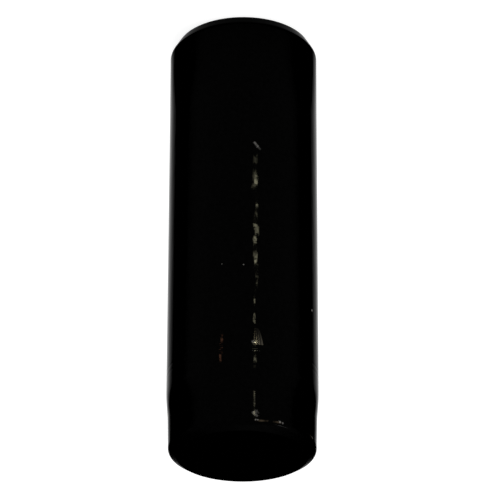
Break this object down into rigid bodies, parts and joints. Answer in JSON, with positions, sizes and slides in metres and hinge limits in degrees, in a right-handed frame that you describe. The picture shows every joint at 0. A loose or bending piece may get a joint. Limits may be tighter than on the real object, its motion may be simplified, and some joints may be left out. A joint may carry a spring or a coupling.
{
  "type": "pivot pin",
  "caption": "Short round black steel pin, turned from one bar, with a plain chamfered end and a tapered lead-in at the other end.",
  "frame": {"origin": "centre of the bottom end face, the plain chamfered end that the pin stands on", "axes": "+Z along the pin's axis, towards the end with the tapered lead-in; X and Y are any two directions across the round pin"},
  "size_m": [0.0126, 0.0126, 0.0385],
  "materials": {
    "black_steel": "black-oxide ground steel, satin"
  },
  "bodies": {
    "root": {"pivot_pin": "black_steel"}
  },
  "joints": []
}
